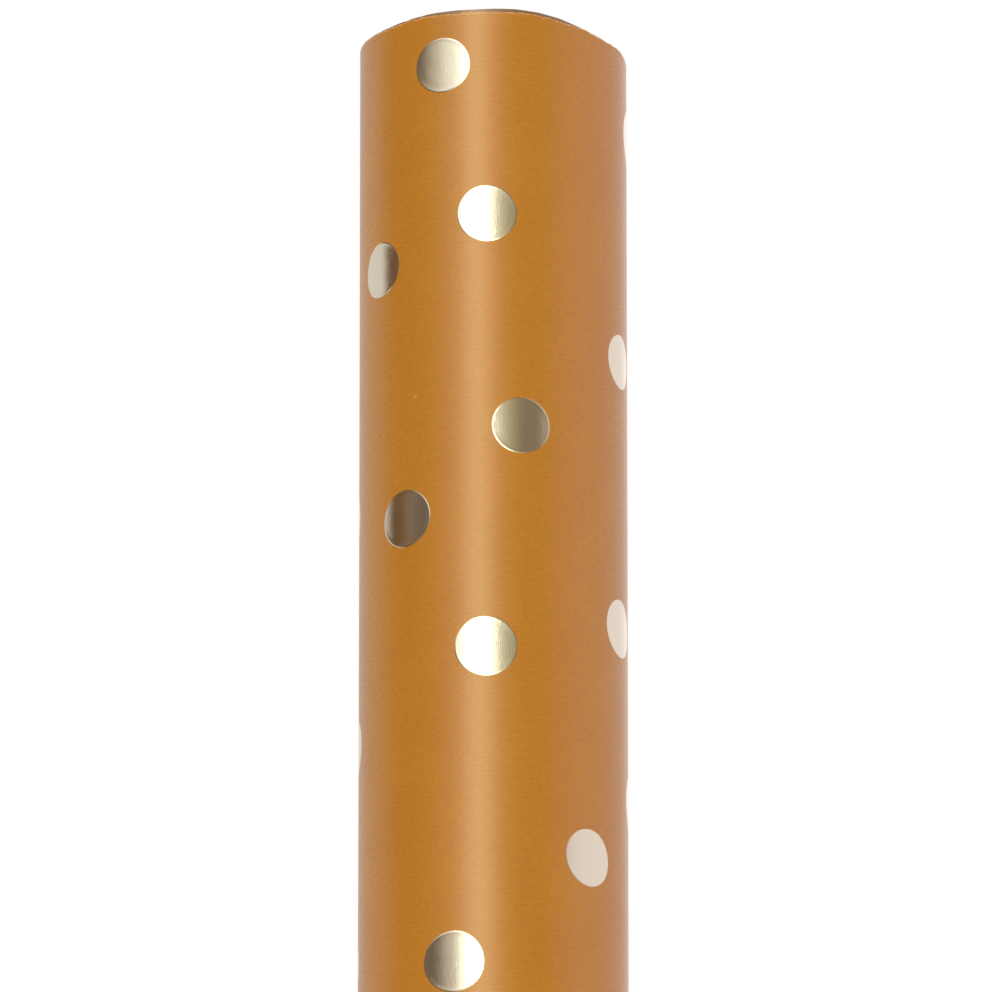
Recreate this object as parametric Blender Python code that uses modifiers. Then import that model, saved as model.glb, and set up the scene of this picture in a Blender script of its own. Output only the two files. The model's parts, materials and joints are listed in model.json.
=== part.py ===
"""A roll of wrapping paper standing on its end: a spiral-wound cardboard core, the paper wound on it,
the outermost turn, its free end in strips that curl open, and the clear tabs that hold it shut.

Metres, +Z up. The origin is the centre of the lower end. An azimuth is an angle round +Z in degrees:
0 is the front (-Y), 90 is the right (+X) and 180 is the back.
"""

import math

import bmesh
import bpy
from mathutils import Matrix, Vector

# Driving dimensions of the roll.
ROLL_LENGTH = 0.762
ROLL_RADIUS = 0.026
BORE_RADIUS = 0.020
SHEET_THICKNESS = 0.00015
LAYER_GAP = 0.0001

# The cardboard core: three plies, each a strip wound as a helix.
PLY_THICKNESS = 0.0005
PLY_PITCH = ROLL_LENGTH / 8
PLY_SEAM_GAP = 0.0003
PLY_STEPS_PER_TURN = 24
PLY_STAGGER_DEG = 120
CORE_BOTTOM = 0.0005
CORE_TOP = ROLL_LENGTH - 0.0015
CORE_CLEARANCE = 0.00015

# The paper.
TURN_STEPS = 96
CORE_RADIUS = BORE_RADIUS + 3 * PLY_THICKNESS + 2 * LAYER_GAP
WOUND_INNER_RADIUS = CORE_RADIUS + CORE_CLEARANCE
WOUND_OUTER_RADIUS = ROLL_RADIUS - SHEET_THICKNESS - LAYER_GAP

# The outermost turn ends at the free edge, on the far side, and its last third curls open.
# Strip 1 is next to the rest of the turn, and the last strip holds the free edge.
FREE_EDGE_DEG = 135
STRIP_COUNT = 6
STRIP_SPAN_DEG = 20
STRIP_STEPS = 5
SLIT = 0.0003
OUTER_TURN_BOTTOM = 0.0003

# The upper end leans down towards the right, where the turns have slipped while it was wound.
RIGHT_SLIP = 0.003
RIGHT_CORNER_SLIP = 0.00095
LEFT_SLIP = 0.00085
FRONT_SETBACK = 0.0005
PLAIN_SETBACK = 0.0001

# The clear seal tabs, half on the free end and half on the turn beside it.
TAB_THICKNESS = 0.0001
TAB_WIDTH = 0.018
TAB_LENGTH_DEG = 30
TAB_STEPS = 8
TAB_HEIGHTS = {"seal_tab_lower": 0.09, "seal_tab_middle": 0.381, "seal_tab_upper": 0.672}

OCHRE = (0.50, 0.195, 0.021, 1.0)
CUT_EDGE = (0.62, 0.50, 0.40, 1.0)
KRAFT_LINER = (0.42, 0.29, 0.17, 1.0)
KRAFT_GREY = (0.34, 0.27, 0.20, 1.0)
CLEAR_FILM = (0.85, 0.85, 0.83, 0.35)


def clear_scene():
    """Remove everything in the scene."""
    for obj in list(bpy.data.objects):
        bpy.data.objects.remove(obj, do_unlink=True)


def new_collection(name):
    """A new collection of the scene."""
    collection = bpy.data.collections.new(name)
    bpy.context.scene.collection.children.link(collection)
    return collection


def new_material(name, colour, roughness):
    """A Principled material."""
    material = bpy.data.materials.new(name)
    material.use_nodes = True
    shader = material.node_tree.nodes["Principled BSDF"]
    shader.inputs["Base Color"].default_value = colour
    shader.inputs["Roughness"].default_value = roughness
    shader.inputs["Alpha"].default_value = colour[3]
    return material


def smooth_step(value):
    """0 below 0 and 1 above 1, with a smooth rise between."""
    held = min(max(value, 0.0), 1.0)
    return held * held * (3 - 2 * held)


def at_azimuth(radius, azimuth_deg, height=0.0):
    """The point at that azimuth and radius."""
    angle = math.radians(azimuth_deg)
    return Vector((radius * math.sin(angle), -radius * math.cos(angle), height))


def azimuth_of(point):
    """The azimuth of a point in degrees, from -180 to 180."""
    return math.degrees(math.atan2(point.x, -point.y))


def upper_end_slip(azimuth_deg):
    """How far the upper end of the wound paper lies below the roll's full length."""
    azimuth = (azimuth_deg + 180) % 360 - 180
    if azimuth < 0:
        left = LEFT_SLIP * smooth_step((-azimuth - 20) / 35)
        behind = (RIGHT_SLIP + RIGHT_CORNER_SLIP - LEFT_SLIP) * smooth_step((-azimuth - 110) / 70) / 2
        return left + behind
    right = RIGHT_SLIP * smooth_step((azimuth - 10) / 54)
    corner = RIGHT_CORNER_SLIP * smooth_step((azimuth - 66) / 24)
    behind = (RIGHT_SLIP + RIGHT_CORNER_SLIP - LEFT_SLIP) * smooth_step((azimuth - 110) / 70) / 2
    return right + corner - behind


def outer_turn_top(azimuth_deg):
    """The height of the outermost turn's upper edge, which sits a little back from the turns inside it."""
    azimuth = (azimuth_deg + 180) % 360 - 180
    front = smooth_step((azimuth + 38) / 20) * (1 - smooth_step((azimuth - 30) / 14))
    return ROLL_LENGTH - upper_end_slip(azimuth_deg) - PLAIN_SETBACK - FRONT_SETBACK * front


def add_object(collection, name, bm, material):
    """A smooth-shaded mesh object from a bmesh, which is freed."""
    mesh = bpy.data.meshes.new(name)
    bm.to_mesh(mesh)
    bm.free()
    mesh.materials.append(material)
    mesh.shade_smooth()
    mesh.set_sharp_from_angle(angle=math.radians(35))
    obj = bpy.data.objects.new(name, mesh)
    collection.objects.link(obj)
    return obj


def solidify(obj, thickness):
    """Thicken an open wall inwards from its outer face."""
    modifier = obj.modifiers.new("Wall", "SOLIDIFY")
    modifier.thickness = thickness
    modifier.offset = -1
    modifier.use_even_offset = True


def add_hinge(collection, name, position, parent=None):
    """An empty on a hinge line, which what it turns is parented to."""
    empty = bpy.data.objects.new(name, None)
    collection.objects.link(empty)
    empty.empty_display_size = 0.01
    empty.parent = parent
    empty.location = position - (parent.matrix_world.translation if parent else Vector())
    bpy.context.view_layer.update()
    return empty


def hang_on(obj, hinge):
    """Parent a piece made in place to its hinge, with its origin on the hinge line."""
    obj.data.transform(Matrix.Translation(-hinge.matrix_world.translation))
    obj.parent = hinge


def wall_bmesh(radius, start_deg, end_deg, steps, bottom, top_of):
    """An open wall round the axis: an upright edge spun from one azimuth to the other.

    top_of gives the height of the upper edge at an azimuth.
    """
    bm = bmesh.new()
    low = bm.verts.new(at_azimuth(radius, start_deg, bottom))
    high = bm.verts.new(at_azimuth(radius, start_deg, ROLL_LENGTH))
    edge = bm.edges.new((low, high))
    bmesh.ops.spin(
        bm,
        geom=[low, high, edge],
        axis=(0, 0, 1),
        cent=(0, 0, 0),
        angle=math.radians(end_deg - start_deg),
        steps=steps,
    )
    for vertex in bm.verts:
        if vertex.co.z > bottom + ROLL_LENGTH / 1000:
            vertex.co.z = top_of(azimuth_of(vertex.co))
    face_outwards(bm)
    return bm


def face_outwards(bm):
    """Turn an open wall's faces so that they look away from the axis."""
    bm.normal_update()
    inward = [face for face in bm.faces if face.normal.dot(face.calc_center_median() * Vector((1, 1, 0))) < 0]
    bmesh.ops.reverse_faces(bm, faces=inward)


def add_core_ply(collection, name, outer_radius, stagger_deg, material):
    """One ply of the core: a strip wound as a helix with Screw, cut square at both ends, then thickened."""
    turns = math.ceil(ROLL_LENGTH / PLY_PITCH) + 2
    profile = bmesh.new()
    top = profile.verts.new((outer_radius, 0, 0))
    bottom = profile.verts.new((outer_radius, 0, PLY_SEAM_GAP - PLY_PITCH))
    profile.edges.new((top, bottom))
    strip = add_object(collection, name, profile, material)
    strip.location.z = -PLY_PITCH
    strip.rotation_euler.z = math.radians(stagger_deg)
    screw = strip.modifiers.new("Helix", "SCREW")
    screw.screw_offset = PLY_PITCH
    screw.iterations = turns
    screw.steps = PLY_STEPS_PER_TURN
    screw.render_steps = PLY_STEPS_PER_TURN
    screw.use_merge_vertices = True
    screw.merge_threshold = 0.00001

    bpy.context.view_layer.update()
    graph = bpy.context.evaluated_depsgraph_get()
    wound = bmesh.new()
    wound.from_mesh(bpy.data.meshes.new_from_object(strip.evaluated_get(graph)))
    wound.transform(strip.matrix_world)
    bpy.data.objects.remove(strip)
    for height, keep_above in ((CORE_BOTTOM, True), (CORE_TOP, False)):
        bmesh.ops.bisect_plane(
            wound,
            geom=wound.verts[:] + wound.edges[:] + wound.faces[:],
            dist=0.0000001,
            plane_co=(0, 0, height),
            plane_no=(0, 0, 1),
            clear_inner=keep_above,
            clear_outer=not keep_above,
        )
    bmesh.ops.remove_doubles(wound, verts=wound.verts, dist=0.00001)
    face_outwards(wound)
    ply = add_object(collection, name, wound, material)
    solidify(ply, PLY_THICKNESS)
    return ply


def add_core(collection, liner, grey):
    """The three plies of the core, from the bore outwards, with their seams staggered."""
    step = PLY_THICKNESS + LAYER_GAP
    plies = (("core_inner_ply", liner), ("core_middle_ply", grey), ("core_outer_ply", liner))
    for index, (name, material) in enumerate(plies):
        outer_radius = BORE_RADIUS + PLY_THICKNESS + index * step
        add_core_ply(collection, name, outer_radius, index * PLY_STAGGER_DEG, material)


def add_wound_paper(collection, material):
    """All the turns inside the outermost one, as a ring of their full thickness."""
    bm = bmesh.new()
    corners = (
        (WOUND_OUTER_RADIUS, ROLL_LENGTH),
        (WOUND_OUTER_RADIUS, 0),
        (WOUND_INNER_RADIUS, 0),
        (WOUND_INNER_RADIUS, ROLL_LENGTH),
    )
    points = [bm.verts.new(at_azimuth(radius, 0, height)) for radius, height in corners]
    edges = [bm.edges.new((points[i - 1], points[i])) for i in range(len(points))]
    bmesh.ops.spin(
        bm,
        geom=points + edges,
        axis=(0, 0, 1),
        cent=(0, 0, 0),
        angle=math.tau,
        steps=TURN_STEPS,
        use_merge=True,
    )
    bmesh.ops.remove_doubles(bm, verts=bm.verts, dist=0.00001)
    for vertex in bm.verts:
        if vertex.co.z > ROLL_LENGTH / 2:
            vertex.co.z = ROLL_LENGTH - upper_end_slip(azimuth_of(vertex.co))
    bmesh.ops.recalc_face_normals(bm, faces=bm.faces)
    return add_object(collection, "wound_paper", bm, material)


def add_outer_turn(collection, material):
    """The outermost turn, up to the quarter of it that curls open."""
    slit_deg = math.degrees(SLIT / 2 / ROLL_RADIUS)
    start = FREE_EDGE_DEG + STRIP_COUNT * STRIP_SPAN_DEG + slit_deg
    end = FREE_EDGE_DEG + 360 - slit_deg
    steps = round((end - start) / 360 * TURN_STEPS)
    bm = wall_bmesh(ROLL_RADIUS, start, end, steps, OUTER_TURN_BOTTOM, outer_turn_top)
    turn = add_object(collection, "outer_turn", bm, material)
    solidify(turn, SHEET_THICKNESS)
    return turn


def add_free_end(collection, material):
    """The free end's strips, each hinged to the one before it along its outer face. Returns the last hinge."""
    slit_deg = math.degrees(SLIT / 2 / ROLL_RADIUS)
    hinge = None
    for number in range(1, STRIP_COUNT + 1):
        name = f"free_end_strip_{number}"
        start = FREE_EDGE_DEG + (STRIP_COUNT - number) * STRIP_SPAN_DEG
        end = start + STRIP_SPAN_DEG
        hinge = add_hinge(collection, name + "_hinge", at_azimuth(ROLL_RADIUS, end), hinge)
        bm = wall_bmesh(
            ROLL_RADIUS, start + slit_deg, end - slit_deg, STRIP_STEPS, OUTER_TURN_BOTTOM, outer_turn_top
        )
        strip = add_object(collection, name, bm, material)
        solidify(strip, SHEET_THICKNESS)
        hang_on(strip, hinge)
    return hinge


def add_seal_tab(collection, name, height, edge_hinge, material):
    """One clear tab across the free edge, hinged along its end on the free end so that it peels off the roll."""
    radius = ROLL_RADIUS + LAYER_GAP + TAB_THICKNESS
    start = FREE_EDGE_DEG - TAB_LENGTH_DEG / 2
    end = FREE_EDGE_DEG + TAB_LENGTH_DEG / 2
    hinge = add_hinge(collection, name + "_hinge", at_azimuth(radius, end, height), edge_hinge)
    bottom = height - TAB_WIDTH / 2
    bm = wall_bmesh(radius, start, end, TAB_STEPS, bottom, lambda azimuth_deg: height + TAB_WIDTH / 2)
    tab = add_object(collection, name, bm, material)
    solidify(tab, TAB_THICKNESS)
    hang_on(tab, hinge)


def main():
    """Build the whole roll."""
    clear_scene()
    collection = new_collection("wrapping_paper_roll")
    ochre = new_material("ochre_paper", OCHRE, 0.45)
    cut_edge = new_material("paper_cut_edge", CUT_EDGE, 0.8)
    liner = new_material("kraft_liner", KRAFT_LINER, 0.85)
    grey = new_material("kraft_grey_board", KRAFT_GREY, 0.9)
    film = new_material("clear_film", CLEAR_FILM, 0.15)
    add_core(collection, liner, grey)
    add_wound_paper(collection, cut_edge)
    add_outer_turn(collection, ochre)
    edge_hinge = add_free_end(collection, ochre)
    for name, height in TAB_HEIGHTS.items():
        add_seal_tab(collection, name, height, edge_hinge, film)


main()
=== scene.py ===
"""The looks of an upright roll of printed wrapping paper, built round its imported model.

The paper is one long sheet, wound as a true spiral on a tube of three helical card plies. A point of
the sheet is named by its turn, the angle in radians that the sheet has wound from its free edge, and
by its height. An azimuth is an angle round +Z: 0 is the front (-Y), a quarter turn is the right (+X).
"""

import json
import logging
import math
import random
from dataclasses import dataclass, field
from enum import Enum

import bmesh
import bpy
import numpy as np
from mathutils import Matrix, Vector


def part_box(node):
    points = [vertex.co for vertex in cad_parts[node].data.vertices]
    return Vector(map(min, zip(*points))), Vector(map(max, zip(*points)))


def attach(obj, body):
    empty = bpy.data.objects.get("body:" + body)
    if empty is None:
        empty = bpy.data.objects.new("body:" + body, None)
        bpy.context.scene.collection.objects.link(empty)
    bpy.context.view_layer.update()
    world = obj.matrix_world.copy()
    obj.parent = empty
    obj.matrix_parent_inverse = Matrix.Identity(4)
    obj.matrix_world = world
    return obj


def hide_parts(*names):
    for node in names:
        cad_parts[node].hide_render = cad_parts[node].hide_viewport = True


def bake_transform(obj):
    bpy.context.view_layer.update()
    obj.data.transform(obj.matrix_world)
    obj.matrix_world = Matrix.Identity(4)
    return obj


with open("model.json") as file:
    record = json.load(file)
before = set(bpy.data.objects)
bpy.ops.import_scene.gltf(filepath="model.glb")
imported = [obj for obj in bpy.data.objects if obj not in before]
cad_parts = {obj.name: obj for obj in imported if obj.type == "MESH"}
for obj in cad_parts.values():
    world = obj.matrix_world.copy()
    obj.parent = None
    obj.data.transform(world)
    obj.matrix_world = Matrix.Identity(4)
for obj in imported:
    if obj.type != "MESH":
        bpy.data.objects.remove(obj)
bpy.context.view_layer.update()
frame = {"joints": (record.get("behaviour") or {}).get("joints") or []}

LOG = logging.getLogger("wrapping_paper_roll")
Array = np.ndarray
Socket = bpy.types.NodeSocket
Colour = tuple[float, float, float]

SHEET_MAP = "sheet"
EDGE_MAP = "edge"
MM = 0.001
INNER_PLY = 0.5 * MM


class Slot(Enum):
    """The record's material slots."""

    PRINT = "ochre_paper"
    FOIL = "gold_foil"
    CUT_EDGE = "paper_cut_edge"
    LINER = "kraft_liner"
    BOARD = "kraft_grey_board"
    FILM = "clear_film"


def ramp(value: Array | float, start: float, end: float) -> Array:
    """Return 0 before the start and 1 past the end, with a smooth rise between."""
    held = np.clip((value - start) / (end - start), 0.0, 1.0)
    return held * held * (3.0 - 2.0 * held)


# ---------------------------------------------------------------- shape of the roll


def round_axis(radius: Array | float, azimuth: Array, height: Array) -> Array:
    """Return the points at radii, azimuths and heights, with x, y and z along the last axis."""
    x, y = radius * np.sin(azimuth), -radius * np.cos(azimuth)
    return np.stack(np.broadcast_arrays(x, y, height), axis=-1)


def joint_azimuth(joint: dict) -> float:
    """Return the azimuth of a joint's axis, from 0 to a full turn."""
    x, y, _ = joint["pos_m"]
    return math.atan2(x, -y) % math.tau


@dataclass(frozen=True)
class Wave:
    """A wave that runs round and up the roll: how often round, its rise in radians a metre, its share."""

    around: int
    rise: float
    start: float
    share: float

    def at(self, azimuth: Array, height: Array) -> Array:
        """Return how far the wave stands out at an azimuth and a height."""
        return self.share * np.sin(self.around * azimuth + self.rise * height + self.start)


@dataclass(frozen=True)
class Slip:
    """A drop of the sheet's upper edge, which grows from one azimuth in degrees to another."""

    drop: float
    start: float
    end: float

    def at(self, degrees: Array) -> Array:
        """Return how far the edge has dropped at an azimuth."""
        return self.drop * ramp(degrees, self.start, self.end)


@dataclass(frozen=True)
class RollShape:
    """Where each point of the wound sheet lies.

    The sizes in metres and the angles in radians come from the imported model. The upper edge of the
    outermost turn lies below the others', and further below in front, between the azimuths in degrees
    over which that starts and ends.
    """

    length: float
    radius: float
    core_radius: float
    bore_radius: float
    free_edge: float
    curl: float
    strips: int
    sheet_thickness: float = 0.1 * MM
    turn_pitch: float = 0.12 * MM
    unevenness: float = 0.07 * MM
    swell_waves: tuple[Wave, ...] = (
        Wave(around=2, rise=1 / 0.081, start=0.4, share=0.5),
        Wave(around=3, rise=-1 / 0.057, start=2.1, share=0.3),
        Wave(around=5, rise=1 / 0.034, start=0.0, share=0.1),
    )
    swell_sunk: float = 0.4
    slips: tuple[Slip, ...] = (
        Slip(0.85 * MM, -20, -55),
        Slip(1.55 * MM, -110, -180),
        Slip(3.0 * MM, 10, 64),
        Slip(0.95 * MM, 66, 90),
        Slip(-1.55 * MM, 110, 180),
    )
    below: float = 0.12 * MM
    front_below: float = 0.47 * MM
    front_starts: tuple[float, float] = (-38, -18)
    front_ends: tuple[float, float] = (30, 44)

    def azimuth(self, turn: Array) -> Array:
        """Return the azimuth of a turn, from minus to plus half a turn."""
        return (self.free_edge + turn + math.pi) % math.tau - math.pi

    def length_wound(self, turn: Array | float) -> Array | float:
        """Return how much sheet lies between the free edge and a turn."""
        return self.radius * turn - self.turn_pitch * turn**2 / (4 * math.pi)

    def turn_at(self, wound: float) -> float:
        """Return the turn at a length of sheet from the free edge."""
        loss = self.turn_pitch / (4 * math.pi)
        root = math.sqrt(max(self.radius**2 - 4 * loss * wound, 0.0))
        return (self.radius - root) / (2 * loss)

    def face_radius(self, turn: Array) -> Array:
        """Return the radius of the sheet's printed face."""
        return self.radius - self.turn_pitch * turn / math.tau

    def swell(self, azimuth: Array, height: Array) -> Array:
        """Return how far the wound paper stands out or in from round, as real paper does."""
        waves = sum(wave.at(azimuth, height) for wave in self.swell_waves)
        return self.unevenness * (waves - self.swell_sunk)

    def point(self, turn: Array, height: Array, lift: Array | float = 0.0) -> Array:
        """Return the place of points on the printed face.

        Args:
            turn: how far each point is wound from the free edge.
            height: the height of each point.
            lift: how far each point stands out from the printed face.

        Returns:
            The points, with x, y and z along the last axis.
        """
        azimuth = self.free_edge + turn
        radius = self.face_radius(turn) + lift
        depth = ramp(radius, self.core_radius, self.radius)
        return round_axis(radius + depth * self.swell(azimuth, height), azimuth, height)

    def slip(self, azimuth: Array) -> Array:
        """Return how far the upper end has slipped down: more to the right than to the left."""
        return sum(slip.at(np.degrees(azimuth)) for slip in self.slips)

    def upper_edge(self, turn: Array) -> Array:
        """Return the height of the sheet's upper edge, which no two turns share exactly."""
        azimuth, turns_in = self.azimuth(turn), turn / math.tau
        degrees = np.degrees(azimuth)
        front = ramp(degrees, *self.front_starts) * (1 - ramp(degrees, *self.front_ends))
        outermost = np.where(turns_in < 1.0, self.below + self.front_below * front, 0.0)
        is_second = (turns_in >= 1.0) & (turns_in < 2.0)
        second = np.where(is_second, 0.1 * MM * (1 + np.sin(3 * azimuth)), 0.0)
        uneven = self.ragged(turns_in, 4.1, 1.3 * np.sin(azimuth))
        sunk = 0.35 * MM * ramp(turns_in, 12, 30)
        return self.length - self.slip(azimuth) - outermost - second - uneven - sunk

    def lower_edge(self, turn: Array) -> Array:
        """Return the height of the sheet's lower edge."""
        return 0.05 * MM + self.ragged(turn / math.tau, 3.3, 1.1 * np.sin(self.azimuth(turn) + 1))

    @staticmethod
    def ragged(turns_in: Array, rate: float, start: Array) -> Array:
        """Return how far the edge lies in from the roll's end, which changes at a rate with each turn."""
        return 0.09 * MM * (1 + np.sin(rate * turns_in + start))


def shape_of_frame() -> RollShape:
    """Return the roll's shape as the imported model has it."""
    curls = {j["name"]: j for j in frame["joints"] if j["name"].startswith("curl_")}
    azimuths = [joint_azimuth(curls[name]) for name in sorted(curls)]
    span = azimuths[0] - azimuths[1]
    return RollShape(
        length=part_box("wound_paper")[1].z,
        radius=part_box("outer_turn")[1].x,
        core_radius=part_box("core_outer_ply")[1].y,
        bore_radius=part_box("core_inner_ply")[1].y - INNER_PLY,
        free_edge=azimuths[-1] - span,
        curl=span * len(curls),
        strips=len(curls),
    )


# ---------------------------------------------------------------- meshes


def link(name: str, data: bpy.types.ID) -> bpy.types.Object:
    """Return a new object in the scene with its data."""
    obj = bpy.data.objects.new(name, data)
    bpy.context.scene.collection.objects.link(obj)
    return obj


def object_of(name: str, points: Array, faces: list[tuple[int, ...]]) -> bpy.types.Object:
    """Return a new object with a mesh of points and faces."""
    mesh = bpy.data.meshes.new(name)
    mesh.from_pydata(points.reshape(-1, 3).tolist(), [], faces)
    mesh.update()
    return link(name, mesh)


def shade(obj: bpy.types.Object, sharp_deg: float = 40.0) -> None:
    """Shade a mesh smooth, with edges sharper than the angle kept."""
    obj.data.shade_smooth()
    obj.data.set_sharp_from_angle(angle=math.radians(sharp_deg))


def thicken(obj: bpy.types.Object, thickness: float, outwards: bool = False) -> None:
    """Turn an open surface into a closed skin, which lies under the surface or, outwards, over it."""
    skin = obj.modifiers.new("Skin", "SOLIDIFY")
    skin.thickness = thickness
    skin.offset = 1 if outwards else -1
    bpy.context.view_layer.update()
    graph = bpy.context.evaluated_depsgraph_get()
    mesh = bpy.data.meshes.new_from_object(obj.evaluated_get(graph))
    obj.modifiers.clear()
    obj.data = mesh


def grid_faces(columns: int, rows: int, first: int = 0) -> list[tuple[int, int, int, int]]:
    """Return the faces of a grid of points, numbered column by column."""
    corners = [first + i * rows + j for i in range(columns - 1) for j in range(rows - 1)]
    return [(a, a + rows, a + rows + 1, a + 1) for a in corners]


@dataclass(frozen=True)
class SheetMesher:
    """Makes closed lengths of the wound sheet: a printed face, a white back and cut edges."""

    shape: RollShape
    row_step: float = 12 * MM
    end_rows: tuple[float, ...] = (0.0, 0.15 * MM, 0.5 * MM, 1.2 * MM, 3.0 * MM)

    def rows(self) -> Array:
        """Return the rows of points as shares of the sheet's height, closer near both ends."""
        inner = np.arange(self.row_step, self.shape.length - self.row_step / 2, self.row_step)
        ends = np.array(self.end_rows)
        heights = np.concatenate([ends, inner, self.shape.length - ends[::-1]])
        return heights / self.shape.length

    def build(self, name: str, turns: Array, nicks: float = 0.0) -> bpy.types.Object:
        """Build one length of the sheet.

        Args:
            name: the piece's name.
            turns: the turns of its columns of points, from the free edge inwards.
            nicks: how deep the cut at its upper edge wanders, in metres.

        Returns:
            The piece, with its printed face, back and cut edges in material slots 0, 1 and 2.
        """
        shape, rows = self.shape, self.rows()
        low, high = shape.lower_edge(turns), shape.upper_edge(turns)
        high = high - nicks * self.wander(turns)
        heights = low[:, None] + (high - low)[:, None] * rows[None, :]
        outer = shape.point(turns[:, None], heights)
        inner = shape.point(turns[:, None], heights, -shape.sheet_thickness)
        columns, count = heights.shape
        size = columns * count
        printed = grid_faces(columns, count)
        back = [face[::-1] for face in grid_faces(columns, count, size)]
        edges = self.rim_faces(columns, count)
        piece = object_of(name, np.stack([outer, inner]), printed + back + edges)
        kinds = [0] * len(printed) + [1] * len(back) + [2] * len(edges)
        piece.data.polygons.foreach_set("material_index", kinds)
        wound = np.tile(np.repeat(shape.length_wound(turns), count), 2)
        tall = np.tile(heights.ravel(), 2)
        to_end = np.tile(np.minimum(heights - low[:, None], high[:, None] - heights).ravel(), 2)
        self.add_map(piece, SHEET_MAP, wound, tall)
        self.add_map(piece, EDGE_MAP, wound, to_end)
        shade(piece)
        return piece

    def wander(self, turns: Array) -> Array:
        """Return an uneven line between 0 and 1 along the cut, the same for the same turns."""
        along = turns * self.shape.radius / MM
        long_waves = np.sin(along * 1.9) * np.sin(along * 0.37 + 1)
        short_waves = 0.6 * np.sin(along * 4.3 + 2 * np.sin(along * 0.9))
        return np.clip(0.3 + 0.45 * (long_waves + short_waves), 0, 1)

    @staticmethod
    def rim_faces(columns: int, rows: int) -> list[tuple[int, int, int, int]]:
        """Return the faces that close the four cut edges between the printed face and the back."""
        size = columns * rows
        faces = []
        for i in range(columns - 1):
            a, b = i * rows, (i + 1) * rows
            faces.append((b, a, a + size, b + size))
            a, b = a + rows - 1, b + rows - 1
            faces.append((a, b, b + size, a + size))
        for j in range(rows - 1):
            faces.append((j, j + 1, j + 1 + size, j + size))
            a = (columns - 1) * rows + j
            faces.append((a + 1, a, a + size, a + 1 + size))
        return faces

    @staticmethod
    def add_map(piece: bpy.types.Object, name: str, across: Array, up: Array) -> None:
        """Give a piece a UV map in metres from two numbers for each of its points."""
        layer = piece.data.uv_layers.new(name=name)
        corners = np.zeros(len(piece.data.loops), np.int32)
        piece.data.loops.foreach_get("vertex_index", corners)
        pairs = np.stack([across[corners], up[corners]], axis=-1)
        layer.data.foreach_set("uv", pairs.astype(np.float32).ravel())


# ---------------------------------------------------------------- shader building


class Tree:
    """A short way to add and join nodes in a node tree."""

    def __init__(self, tree: bpy.types.NodeTree) -> None:
        """Hold the tree that nodes go in."""
        self.tree = tree

    def add(self, kind: str, inputs: dict | None = None, **settings: object) -> bpy.types.Node:
        """Add a node.

        Args:
            kind: the node's type.
            inputs: a socket or plain value for each of its inputs that is used, by name or number.
            settings: the node's own settings.

        Returns:
            The node.
        """
        node = self.tree.nodes.new(kind)
        for name, value in settings.items():
            setattr(node, name, value)
        for name, value in (inputs or {}).items():
            self.put(node.inputs[name], value)
        return node

    def put(self, target: Socket, value: object) -> None:
        """Link a socket to an input, or set the input to a plain value."""
        if isinstance(value, Socket):
            self.tree.links.new(value, target)
        else:
            target.default_value = value

    def math(self, operation: str, *values: object) -> Socket:
        """Return the result of a Math node on sockets or numbers."""
        return self.add("ShaderNodeMath", dict(enumerate(values)), operation=operation).outputs[0]

    def vector(self, operation: str, *values: object) -> Socket:
        """Return the result of a Vector Math node on sockets or vectors."""
        return self.add("ShaderNodeVectorMath", dict(enumerate(values)), operation=operation).outputs[0]

    def between(
        self, value: object, low: object, high: object, to_low: float = 0.0, to_high: float = 1.0
    ) -> Socket:
        """Return a value moved smoothly from one range to another, and held there.

        Args:
            value: a socket or number.
            low: where the range that it comes from starts.
            high: where that range ends.
            to_low: what a value at low becomes.
            to_high: what a value at high becomes.

        Returns:
            The moved value.
        """
        inputs = {"Value": value, "From Min": low, "From Max": high, "To Min": to_low, "To Max": to_high}
        return self.add("ShaderNodeMapRange", inputs, interpolation_type="SMOOTHSTEP").outputs["Result"]

    def mix(self, share: object, first: object, second: object) -> Socket:
        """Return a blend of two colours."""
        ends = [end if isinstance(end, Socket) else (*end, 1.0) for end in (first, second)]
        inputs = {"Factor": share, "A": ends[0], "B": ends[1]}
        return self.add("ShaderNodeMix", inputs, data_type="RGBA").outputs["Result"]

    def noise(self, vector: Socket, detail: float) -> Socket:
        """Return a noise value between about 0 and 1, with waves one unit long."""
        inputs = {"Vector": vector, "Scale": 1.0, "Detail": detail}
        return self.add("ShaderNodeTexNoise", inputs).outputs["Fac"]

    def scale(self, vector: object, factor: object) -> Socket:
        """Return a vector or a colour times a number."""
        inputs = {0: vector, "Scale": factor}
        return self.add("ShaderNodeVectorMath", inputs, operation="SCALE").outputs[0]

    def in_units(self, vector: Socket, size: Socket) -> Socket:
        """Return coordinates as multiples of a size."""
        return self.scale(vector, self.math("DIVIDE", 1.0, size))

    def weigh(self, share: float, first: Socket, second: Socket) -> Socket:
        """Return a share of one value plus the rest of another."""
        parts = (self.math("MULTIPLY", first, share), self.math("MULTIPLY", second, 1 - share))
        return self.math("ADD", *parts)


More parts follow.
